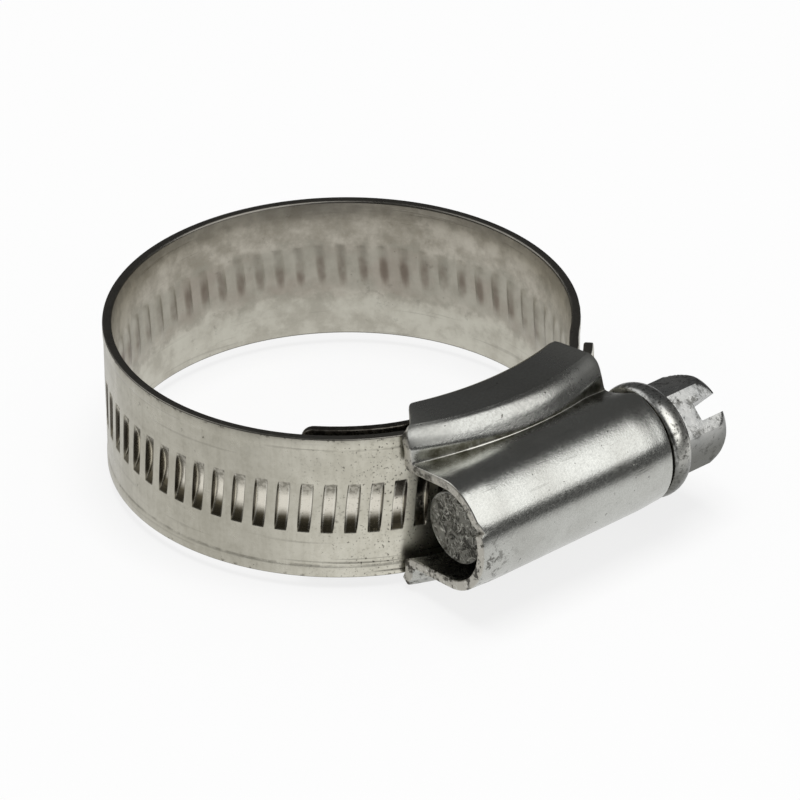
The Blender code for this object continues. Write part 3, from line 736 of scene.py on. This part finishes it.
pressing = {
    "sheet": 0.8,
    "tunnelRadius": 4.7,
    "tunnelLift": 0.35,
    "arcStep": 15,  # degrees
    "rimCrimp": 0.12,
    "rimLength": 2.6,
    "taper": (4.4, 1.6),
    "taperShares": (0.25, 0.6),
    "lipTop": 7.5,
    "frontBend": 1.7,  # roll of the lips, about a line in the strip's outer face
    "frontLean": 24.0,
    "frontWall": (1.1, 0.7),  # leaning wall below the roll, in the middle and towards the ends
    "frontFade": (1.0, 7.0),
    "backBend": 1.2,
    "lipReach": 2.2,
    "backRadius": 25.5,
    "backRoom": 0.9,
    "valleyReach": 2.0,
    "valleyHeight": 5.3,
    "valleyFollow": 1.15,
    "valleyFall": 0.33,
    "valleyDip": 0.8,
    "valleyDipFade": (5.0, 9.5),
    "edgeRound": 0.14,
    "lowerSink": 0.8,  # the lower valley runs out at the left end
    "lowerFade": (-10.9, -5.5),
    "nickAngle": 22.5,  # degrees above the tunnel's middle, where the left rim is bent in
    "nickDepth": 0.36,
    "nickStep": 2.6,  # degrees over which it starts
    "nickWidth": 13.0,  # and ends
    "nickFade": 1.4,
    "crackDrop": 1.3,  # degrees below the nick, where the rim is darker
    "crackWidth": 2.0,
    "crackFade": 1.2,
    "rimSteps": 5,
    "stations": 84,
}
sectionMarks = {  # places round the section in control points from the tunnel's middle
    "valley": 8,
    "foot": 9,  # of the lip
    "foldFrom": (6.6, 7.8),
    "foldTo": (8.8, 9.15),
    "lip": (9.1, 9.9),
    "foldLight": (0.3, 1.5),  # mm from the left end, where the fold's painted shade is still weaker
}
foldSteps = 6  # points of the section for each control point


def pressingHalf(u):
    # control points of the outer face above the worm's axis at shares u of the length: tunnel arc,
    # web, valley crease, lip wall, two quarter bends, and the turned-down edge
    p = pressing
    tunnelLeft, tunnelRight = layout["tunnelEnds"]

    def across(left, right):
        return -left + (left + right) * u

    def tapered(share):
        return across(*(end - cut * share for end, cut in zip(layout["lipEnds"], p["taper"])))

    def curve(x):  # how far the saddle's circle has bent back at x
        return strip["saddleRadius"] - np.sqrt(strip["saddleRadius"] ** 2 - x**2)

    def back(x):
        layers = strip["thickness"] + layerStep + p["backRoom"] + p["sheet"]
        return layers - saddleFront + p["backRadius"] - np.sqrt(p["backRadius"] ** 2 - x**2)

    x = across(tunnelLeft, tunnelRight)
    squeeze = 1 - smoothStep(x + tunnelLeft, 0.0, p["rimLength"])
    squeeze = np.maximum(squeeze, 1 - smoothStep(tunnelRight - x, 0.0, p["rimLength"]))
    squeeze = squeeze * p["rimCrimp"]
    spots = []
    for degrees in range(0, 91, p["arcStep"]):
        angle = math.radians(degrees)
        y = -layout["wormOffset"] - (p["tunnelRadius"] - squeeze) * math.cos(angle)
        z = (p["tunnelRadius"] + p["tunnelLift"] - squeeze) * math.sin(angle)
        spots.append((x, y, z, squeeze))

    x = across(tunnelLeft, (tunnelRight + layout["lipEnds"][1]) / 2)
    valley = p["valleyFollow"] * curve(x) - p["valleyReach"] - saddleFront
    height = p["valleyHeight"] - p["valleyFall"] * curve(x)
    height = height - p["valleyDip"] * smoothStep(x, *p["valleyDipFade"])
    top = p["tunnelRadius"] + p["tunnelLift"] - squeeze
    spots.append((x, (valley - layout["wormOffset"]) / 2, (top + height) / 2, squeeze / 2))
    spots.append((x, valley, height, 0 * x))

    x = tapered(0.0)
    lean, bend = math.radians(p["frontLean"]), p["frontBend"]
    below = p["frontWall"][0] + np.diff(p["frontWall"]) * smoothStep(np.abs(x), *p["frontFade"])
    y = curve(x) - saddleFront - bend * math.cos(lean) - below * math.sin(lean)
    spots.append((x, y, p["lipTop"] - bend * (1 - math.sin(lean)) - below * math.cos(lean), 0 * x))

    frontShare, backShare = p["taperShares"]
    for angle in np.linspace(lean, np.pi / 2, 5):
        x = tapered(frontShare * ((angle - lean) / (np.pi / 2 - lean)) ** 2)
        y = curve(x) - saddleFront - bend * math.cos(angle)
        spots.append((x, y, 0 * x + p["lipTop"] - bend * (1 - math.sin(angle)), 0 * x))
    for angle in np.linspace(0.0, np.pi / 2, 5):
        x = tapered(backShare + (1 - backShare) * math.sin(angle))
        y = back(x) - p["backBend"] * (1 - math.sin(angle))
        spots.append((x, y, 0 * x + p["lipTop"] - p["backBend"] * (1 - math.cos(angle)), 0 * x))
    x = tapered(1.0)
    spots.append((x, back(x), 0 * x + strip["width"] / 2 - p["lipReach"], 0 * x))
    return np.stack([np.stack(spot, -1) for spot in spots], -2)


def pressingSection(u):
    # both faces of the whole section, dense: (stations, points round, 3) for outside and inside
    valley, foot = sectionMarks["valley"], sectionMarks["foot"]
    upper = pressingHalf(u)
    lower = upper[..., :0:-1, :] * [1, 1, -1, 1]
    sunk = pressing["lowerSink"] * (1 - smoothStep(upper[..., 0, 0], *pressing["lowerFade"]))
    lower[..., -foot:-foot + 3, 2] -= sunk[:, None] * [0.5, 1.0, 0.5]  # lip's foot, valley, web
    section = np.concatenate([lower, upper], -2)
    middle = upper.shape[-2] - 1
    creases = np.zeros(section.shape[-2], bool)
    creases[[middle - foot, middle - valley, middle + valley, middle + foot]] = True
    along = unit(np.diff(section[..., 1:3], axis=-2))
    before, after = besides(np.stack([along[..., 1], -along[..., 0]], -1))
    bisector = before + after
    bisector = bisector / (bisector * after).sum(-1, keepdims=True)
    outside = section[..., :3]
    thickness = pressing["sheet"] + section[..., 3:] / 2
    inside = outside.copy()
    inside[..., 1:3] += bisector * thickness
    outside, inside = (hermite(face, creases, foldSteps) for face in (outside, inside))
    for _ in range(2):
        for face in (outside, inside):
            around = face[..., :-2, :] + 2 * face[..., 1:-1, :] + face[..., 2:, :]
            face[..., 1:-1, :] = around / 4
    return outside, inside


def onBothFaces(values):  # the inner face runs back along the outer one
    return np.concatenate([values, values[..., ::-1]], -1)


def makeHousing():
    p, spots = pressing, sectionMarks
    total = sum(layout["tunnelEnds"])
    edge, rim = p["edgeRound"] / total, p["rimLength"] / total
    rounding = edge * (1 - np.cos(quarterBend))
    ends = np.r_[rounding, np.linspace(edge, rim, p["rimSteps"])[1:]]
    middle = np.linspace(rim, 1 - rim, p["stations"])[1:-1]
    u = np.r_[ends, middle, 1 - ends[::-1]]
    outside, inside = pressingSection(u)
    fromEnd = np.minimum(u, 1 - u)
    past = (1 - fromEnd[:, None, None] / edge).clip(0, 1)
    inset = p["edgeRound"] * (1 - np.sqrt(np.clip(1 - past**2, 0, 1)))
    sheet = unit(inside - outside)
    outside, inside = outside + sheet * inset, inside - sheet * inset

    # the nick pushes the left rim in, sharply at its lower side
    half = outside.shape[1]
    place = (np.arange(half) - (half - 1) / 2) / foldSteps
    above = place * p["arcStep"] - p["nickAngle"]
    bent = np.clip(1 - np.where(above < 0, -above / p["nickStep"], above / p["nickWidth"]), 0, 1)
    fromLeft = u[:, None] * total
    nick = p["nickDepth"] * bent * np.clip(1 - fromLeft / p["nickFade"], 0, 1)
    outside[..., 0] += nick
    inside[..., 0] += nick
    loop = np.concatenate([outside, inside[:, ::-1]], 1)
    rows, around = loop.shape[:2]
    i = np.arange(half - 1)
    cap = np.stack([i, i + 1, around - 2 - i, around - 1 - i], -1)
    faces = [tubeFaces(rows, around), cap, (rows - 1) * around + cap[:, ::-1]]

    rimMark = (1 - smoothStep(fromEnd, 0.0, edge * 0.8))[:, None] + np.zeros((1, around))
    off = np.abs(place)
    foldShade = smoothStep(off, *spots["foldFrom"]) * (1 - smoothStep(off, *spots["foldTo"]))
    foldShade = np.where(place > 0, foldShade, 0.25 * foldShade)
    lightStart = 1 - 0.6 * (1 - smoothStep(fromLeft, *spots["foldLight"]))
    foldShade = onBothFaces(foldShade) * (1 - 0.8 * rimMark) * lightStart
    cracked = np.clip(1 - np.abs(above + p["crackDrop"]) / p["crackWidth"], 0, 1)
    cracked = cracked * np.clip(1 - fromLeft / p["crackFade"], 0, 1)
    crest = np.r_[np.isclose(place, spots["valley"]), np.zeros(half)]
    marks = {
        "rim": rimMark,
        "foldShade": np.maximum(foldShade, onBothFaces(cracked)),
        "crest": crest + 0 * rimMark,
        "lip": onBothFaces(smoothStep(off, *spots["lip"])) + 0 * rimMark,
    }
    faces = np.concatenate(faces).tolist()
    return newPiece("pressedHousing", loop.reshape(-1, 3), faces, housingMetal, 40, marks)


pressedHousing = makeHousing()
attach(pressedHousing, "clamp")
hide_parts("housing")
print("housing made:", len(pressedHousing.data.polygons), "faces")


# The screw: rings about the X axis up to the driver slot's floor, then two lobes beside the slot

worm = {
    "radius": 3.6,
    "lift": 0.1,
    "depth": 0.65,
    "crest": 0.47,
    "base": 0.7,
    "runout": 0.3,
    "left": -9.95,
    "tipRadius": 3.1,
    "tipLength": 0.4,
    "tipChamfer": 0.12,
    "tipRings": (0.0, 0.04, 0.08, 0.12),
    "ringsPerTurn": 26,
    "threadRight": 7.9,
    "neckRing": 0.4,  # before the collar
    "faceWear": 0.25,  # how torn the driver's end is, next to the tip
    "setOver": 0.012,  # play between the thread and the pockets is shared out
}
head = {
    "collarFace": 9.45,
    "collarEdge": 0.7,
    "collarDome": 1.7,
    "collarFoot": 3.4,
    "collarStep": 9.0,  # degrees
    "flats": 6.9,
    "rounding": 3.2,
    "roundingStep": 5.0,  # degrees
    "plainRings": 6,
    "faceRadius": 3.1,
    "turn": 46.5,
    "slotWidth": 1.65,
    "slotDepth": 2.55,
    "slotOffset": 0.15,
    "floorRoom": 0.02,  # no ring lies nearer to the driver slot's floor
    "envelope": 0.2,
    "arcs": (7, 16, 16, 7),  # points between the slot and the hexagon's corners, round one lobe
    "gap": 7,
    "chord": 6,
}
crown = head["collarFace"] + head["collarEdge"]


def headOutline(x):
    # radius that rounds off the head towards its end: a quarter ellipse
    wide = head["flats"] / 2 / math.cos(math.pi / 6) + head["envelope"]
    along = np.clip((x - layout["headEnd"] + head["rounding"]) / head["rounding"], 0, 1)
    round = np.sqrt(np.clip(1 - along**2, 0, 1))
    return head["faceRadius"] + (wide - head["faceRadius"]) * round


def slotAngle(x, reach):
    # angle from the slot's middle to where its wall, reach away, leaves the outline
    flatAngle = np.arctan(reach / (head["flats"] / 2))
    roundAngle = np.arcsin(reach / headOutline(x))
    return np.degrees(np.maximum(flatAngle, roundAngle))


def ringAngles(x):
    # angles of the ring's points: two lobes with points on the hexagon's corners, and two gaps
    stops = []
    for start, side in ((0, -1), (180, 1)):
        wall = slotAngle(x, head["slotWidth"] / 2 + side * head["slotOffset"])
        corners = [start + corner + 0 * x for corner in (30, 90, 150)]
        stops += [start + wall, *corners, start + 180 - wall]
    steps = (*head["arcs"], head["gap"]) * 2
    stops.append(360 + stops[0])
    parts = []
    for start, end, count in zip(stops, stops[1:], steps):
        parts.append(start[:, None] + (end - start)[:, None] * np.arange(count) / count)
    return np.radians(np.concatenate(parts, 1) + head["turn"])


def collarRadius(x):
    # rounded edge by the housing, then a dome that falls to the head's foot
    full = layout["collarRadius"]
    rising = np.sqrt(np.clip(1 - ((crown - x) / head["collarEdge"]).clip(0, 1) ** 2, 0, 1))
    falling = ((x - crown) / head["collarDome"]).clip(0, 1)
    radius = full - head["collarEdge"] / 2 * (1 - rising)
    radius = radius - (full - head["collarFoot"]) * (1 - np.sqrt(1 - falling**2))
    on = (x >= head["collarFace"]) & (x <= crown + head["collarDome"])
    return np.where(on, radius, 0.0)


def hexRadius(angle):
    beside = (np.degrees(angle) - head["turn"] + 30) % 60 - 30
    return head["flats"] / 2 / np.cos(np.radians(beside))


def shankRadius(x, angle, crestX):
    # root cylinder with a helical ridge of trapezoid section, and a short plain tip
    root = worm["radius"] - worm["depth"]
    around = np.pi - angle  # zero on the strip's side, counted the way the thread climbs
    turns = (x - crestX) / slot["pitch"] - around / (2 * np.pi)
    beside = np.abs(turns - np.round(turns)) * slot["pitch"]
    flank = (worm["base"] - worm["crest"]) / 2
    sunk = root - worm["depth"] / 3
    slope = (worm["radius"] - sunk) / flank
    ridge = worm["radius"] - (beside - worm["crest"] / 2).clip(0, None) * slope
    tipEnd = worm["left"] + worm["tipLength"]
    fromEnds = np.minimum(x - tipEnd - worm["base"] / 2, worm["threadRight"] - x)
    ridge = sunk + (ridge - sunk) * np.clip(fromEnds / slot["pitch"] / worm["runout"], 0, 1)
    falling = (x - tipEnd).clip(0, None) / worm["tipChamfer"]
    rising = ((x - worm["left"]) / worm["tipChamfer"]).clip(0, 1)
    tip = worm["tipRadius"] - falling * (worm["tipRadius"] - root)
    tip = tip - worm["tipChamfer"] * (1 - rising)
    return np.maximum(np.maximum(root, tip), ridge)


def screwRings():
    # places along X of the rings below and above the driver slot's floor
    end = layout["headEnd"]
    floorX, foot = end - head["slotDepth"], crown + head["collarDome"]
    threadLeft = worm["left"] + worm["tipLength"]
    quarter = np.radians(np.arange(0.0, 91.0, head["collarStep"]))
    rounded = np.sin(np.radians(np.arange(0.0, 90.1, head["roundingStep"])))
    plain = np.linspace(foot, end - head["rounding"], head["plainRings"])
    lowHead = np.r_[plain[1:], (end - head["rounding"] * (1 - rounded))[1:]]
    below = np.r_[
        worm["left"] + np.array(worm["tipRings"]),
        np.arange(threadLeft, worm["threadRight"], slot["pitch"] / worm["ringsPerTurn"]),
        worm["threadRight"], head["collarFace"] - worm["neckRing"], head["collarFace"] - 1e-4,
        crown - head["collarEdge"] * np.cos(quarter),
        crown + head["collarDome"] * np.sin(quarter[1:]),
        lowHead[lowHead < floorX - head["floorRoom"]],
        floorX,
    ]
    return below, lowHead[lowHead > floorX + head["floorRoom"]]


def ringPoints(x, radius, angles):
    return np.stack([x + 0 * radius, -radius * np.cos(angles), radius * np.sin(angles)], -1)


def makeScrew():
    crest = lengthAt(0.0, True)
    nearest = slotMiddles[np.abs(slotMiddles - crest).argmin()]
    pocket = onStrip(np.array([nearest]), np.array([strip["thickness"] / 2]), 0.0)
    crestX = float(pocket[0, 0]) + worm["setOver"]
    below, above = screwRings()
    angles = ringAngles(below)
    x = below[:, None]
    headRadius = np.where(x > crown, np.minimum(hexRadius(angles), headOutline(x)), 0.0)
    shank = np.where(x < head["collarFace"], shankRadius(x, angles, crestX), 0.0)
    radius = np.maximum(np.maximum(collarRadius(x), headRadius), shank)
    points = ringPoints(x, radius, angles)
    rows, around = radius.shape
    faces = tubeFaces(rows, around)[:, ::-1].tolist()
    faces.append(list(range(around)))
    allPoints = [points.reshape(-1, 3)]
    sheared = [np.repeat(np.arange(rows) == 0, around)]

    # lobes: the rings above the floor are closed by a chord along the driver slot's wall
    top = (rows - 1) * around
    lobe, gap = sum(head["arcs"]), head["gap"]
    size = rows * around
    upAngles = ringAngles(above)
    upRadius = np.minimum(hexRadius(upAngles), headOutline(above[:, None]))
    upPoints = ringPoints(above[:, None], upRadius, upAngles)
    share = (np.arange(1, head["chord"]) / head["chord"])[:, None]
    chordIds = []
    for begin in (0, lobe + gap):
        arc = np.arange(begin, begin + lobe + 1) % around
        arcPoints = upPoints[:, arc]
        chord = arcPoints[:, -1:] + (arcPoints[:, :1] - arcPoints[:, -1:]) * share
        ring = np.concatenate([arcPoints, chord], 1)
        base = points[-1, arc]
        baseChord = base[-1:] + (base[:1] - base[-1:]) * share
        chordIds.append(size + np.arange(len(baseChord)))
        size += len(baseChord)
        upIds = size + np.arange(ring.shape[0] * ring.shape[1]).reshape(ring.shape[:2])
        size += upIds.size
        ids = np.concatenate([np.r_[top + arc, chordIds[-1]][None], upIds])
        step = np.roll(ids, -1, 1)
        faces += np.stack([ids[:-1], step[:-1], step[1:], ids[1:]], -1).reshape(-1, 4).tolist()
        faces.append(ids[-1].tolist())
        allPoints += [baseChord, ring.reshape(-1, 3)]
        wearAndHighlight = np.where(np.arange(len(above)) == len(above) - 1, worm["faceWear"], 0.0)
        sheared += [np.zeros(len(baseChord)), np.repeat(wearAndHighlight, ring.shape[1])]
    gapIds = top + np.arange(gap + 1)
    secondGap = top + (2 * lobe + gap + np.arange(gap + 1)) % around
    floor = [gapIds + lobe, chordIds[1][::-1], secondGap, chordIds[0][::-1]]
    faces.append(np.concatenate(floor).tolist())
    points = np.concatenate(allPoints) + [0.0, -layout["wormOffset"], worm["lift"]]
    marks = {"sheared": np.concatenate(sheared)}
    return newPiece("wormScrew", points, faces, screwMetal, 32, marks)


wormScrew = makeScrew()
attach(wormScrew, "screw")
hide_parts("worm_screw")
print("screw made:", len(wormScrew.data.polygons), "faces")


# Studio

studio = {
    "floorHalf": 4.0,
    "floorTone": 0.82,
    "sheetEdge": (0.040, 0.080),  # where the white sheet gives way to dark cloth in reflections
    "sheetLevels": (0.81, 0.10),
    "backdropShare": 0.8,  # share of plain white that the camera sees over the lit floor
    "daylight": 0.45,
    "darkRoom": 0.08,
    "lampPower": 6.0,
    "lampSize": 0.5,
    "lampPlace": (0.0, -0.05, 0.9),
}
softboxes = [  # azimuth from -Y towards +X, elevation, half sizes across and along, edge: degrees
    {"azimuth": 15.0, "elevation": 46.0, "size": (31.0, 34.0), "edge": 3.0, "level": 1.48},
    {"azimuth": -150.0, "elevation": 42.0, "size": (25.0, 25.0), "edge": 6.0, "level": 1.1},
]


def directions(azimuth, elevation):  # towards, sideways and upwards, as seen from the middle
    a, e = math.radians(azimuth), math.radians(elevation)
    towards = (math.sin(a) * math.cos(e), -math.cos(a) * math.cos(e), math.sin(e))
    upwards = (-math.sin(a) * math.sin(e), math.cos(a) * math.sin(e), math.cos(e))
    return towards, (math.cos(a), math.sin(a), 0.0), upwards


def makeFloor():
    mesh = bpy.data.meshes.new("studioFloor")
    reach = studio["floorHalf"]
    corners = [(-reach, -reach, 0), (reach, -reach, 0), (reach, reach, 0), (-reach, reach, 0)]
    mesh.from_pydata(corners, [], [(0, 1, 2, 3)])
    material = bpy.data.materials.new("whiteFloor")
    tree = Tree(material)
    tone = studio["floorTone"]
    matt = tree.out("BsdfDiffuse", {}, {"Color": (tone, tone, tone, 1.0)})
    where = tree.out("TexCoord", socket="Object")
    fromMiddle = tree.out("VectorMath", {"operation": "LENGTH"}, {0: where}, "Value")
    seen, mirrored = tree.ray("Camera"), tree.ray("Glossy")
    paper = fromMiddle.ramp(*studio["sheetEdge"], *studio["sheetLevels"])
    level = tree.mixed(seen + mirrored * paper, (0.0, 0.0, 0.0), (1.0, 1.0, 1.0))
    glow = tree.out("Emission", {}, {"Color": level, "Strength": 1.0})
    share = seen * studio["backdropShare"] + mirrored
    tree.finish("OutputMaterial", tree.out("MixShader", {}, {0: share, 1: matt, 2: glow}))
    mesh.materials.append(material)
    floor = inScene("studioFloor", mesh)


def makeSurroundings():
    world = bpy.data.worlds.new("studioWorld")
    scene.world = world
    tree = Tree(world)
    direction = tree.out("TexCoord", socket="Generated")
    glow = studio["darkRoom"]
    for box in softboxes:
        axes = directions(box["azimuth"], box["elevation"])
        ahead, *offsets = (tree.dot(direction, axis) for axis in axes)
        inside = ahead.ramp(0.0, 0.1)
        for offset, size in zip(offsets, box["size"]):
            away = abs(offset / ahead)
            inner, outer = (math.tan(math.radians(size + box["edge"] * s)) for s in (-1, 1))
            inside = inside * (1 - away.ramp(inner, outer))
        glow = inside * box["level"] + glow
    camera, glossy = tree.ray("Camera"), tree.ray("Glossy")
    shaders = {0: glossy}
    for place, level in ((1, studio["daylight"] * (1 - camera) + camera), (2, glow)):
        values = {"Color": (1.0, 1.0, 1.0, 1.0), "Strength": level}
        shaders[place] = tree.out("Background", {}, values)
    tree.finish("OutputWorld", tree.out("MixShader", {}, shaders))


def makeLamp():
    light = bpy.data.lights.new("softbox", "AREA")
    light.shape = "SQUARE"
    light.size = studio["lampSize"]
    light.energy = studio["lampPower"]
    lamp = inScene("softbox", light)
    lamp.location = studio["lampPlace"]
    lamp.visible_glossy = False


makeFloor()
makeSurroundings()
makeLamp()

view = {
    "azimuth": -39.385,
    "elevation": 31.153,
    "roll": -0.9226,
    "distance": 465.1,
    "focal": 5646.0,  # in pixels of an 800 pixel picture
    "centre": (342.42, 381.83),  # where the hoop's centre falls in it
    "picture": 800.0,
    "sensor": 36.0,
    "clip": (0.01, 20.0),
}


def makeCamera():
    axes = directions(view["azimuth"], view["elevation"])
    back, right, up = (Vector(axis) for axis in axes)
    roll = math.radians(view["roll"])
    across = math.cos(roll) * right + math.sin(roll) * up
    upright = -math.sin(roll) * right + math.cos(roll) * up
    data = bpy.data.cameras.new("photoCamera")
    data.sensor_width = view["sensor"]
    data.lens = view["focal"] / view["picture"] * view["sensor"]
    data.shift_x = 0.5 - view["centre"][0] / view["picture"]
    data.shift_y = view["centre"][1] / view["picture"] - 0.5
    data.clip_start, data.clip_end = view["clip"]
    camera = inScene("photoCamera", data)
    hoopCentre = Vector(saddleMiddle) - Vector((layout["hoopShift"], 0.0, 0.0))
    turned = Matrix((across, upright, back)).transposed().to_4x4()
    turned.translation = (hoopCentre + back * view["distance"]) * mm
    camera.matrix_world = turned
    scene.camera = camera


makeCamera()
bpy.context.scene.view_settings.view_transform = "Standard"
print("studio made")
